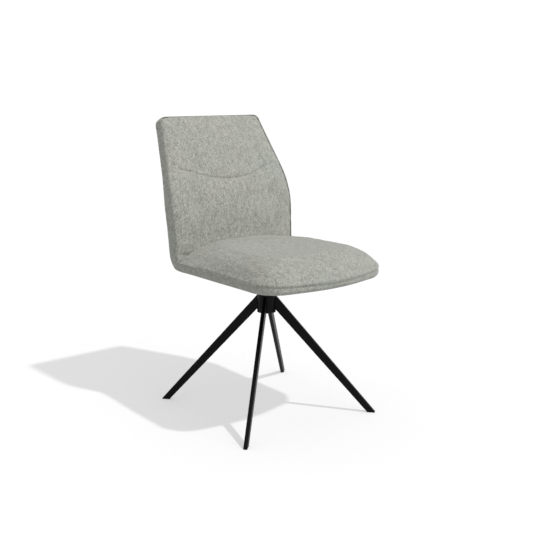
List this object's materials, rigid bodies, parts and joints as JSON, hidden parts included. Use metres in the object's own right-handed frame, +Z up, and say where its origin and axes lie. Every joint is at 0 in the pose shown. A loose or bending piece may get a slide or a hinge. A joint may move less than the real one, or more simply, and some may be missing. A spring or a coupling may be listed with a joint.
{
  "type": "swivel dining chair",
  "caption": "Upholstered dining chair, seat and raked back in one shell on a swivel hub with splayed tapered tube legs.",
  "frame": {"origin": "on the floor, where the swivel axis meets it", "axes": "+Z up along the swivel axis, the chair faces -Y, +X is the left hand of someone who sits in it"},
  "size_m": [0.5158, 0.6264, 0.886],
  "materials": {
    "black_steel": "satin powder coat",
    "black_nylon": "moulded nylon",
    "bearing_steel": "ground and polished",
    "cage_brass": "pressed sheet",
    "zinc_steel": "zinc plated",
    "plywood": "sanded birch plywood",
    "lining_cloth": "thin non-woven cloth",
    "grey_fabric": "soft fine chenille weave over foam"
  },
  "bodies": {
    "base": {"hub_tube": "black_steel", "leg_front_left": "black_steel", "leg_front_right": "black_steel", "leg_rear_left": "black_steel", "leg_rear_right": "black_steel", "glide_front_left": "black_nylon", "glide_front_right": "black_nylon", "glide_rear_left": "black_nylon", "glide_rear_right": "black_nylon", "upper_bush": "black_nylon", "lower_bush": "black_nylon", "hub_cap": "black_nylon", "bearing_lower_race": "bearing_steel"},
    "ball_set": {"bearing_cage": "cage_brass", "bearing_balls": "bearing_steel"},
    "seat": {"bearing_upper_race": "bearing_steel", "spindle": "black_steel", "retaining_washer": "zinc_steel", "retaining_ring": "zinc_steel", "seat_plate": "black_steel", "plate_washers": "zinc_steel", "plate_screws": "zinc_steel", "plate_tee_nuts": "zinc_steel", "seat_lining": "lining_cloth", "seat_board": "plywood", "back_board": "plywood", "back_bracket_left": "zinc_steel", "back_bracket_right": "zinc_steel", "bracket_screws": "zinc_steel", "bracket_tee_nuts": "zinc_steel", "seat_cushion": "grey_fabric", "back_cushion": "grey_fabric", "side_band": "grey_fabric", "rear_panel": "grey_fabric"}
  },
  "joints": [
    {"name": "seat_swivel", "type": "hinge", "parent": "base", "child": "seat", "pos_m": [0, 0, 0.41], "axis": [0, 0, 1], "continuous": true},
    {"name": "ball_set_spin", "type": "hinge", "parent": "base", "child": "ball_set", "pos_m": [0, 0, 0.41], "axis": [0, 0, 1], "continuous": true}
  ],
  "couplings": [
    {"joint": "ball_set_spin", "follows": "seat_swivel", "ratio": 0.5}
  ]
}
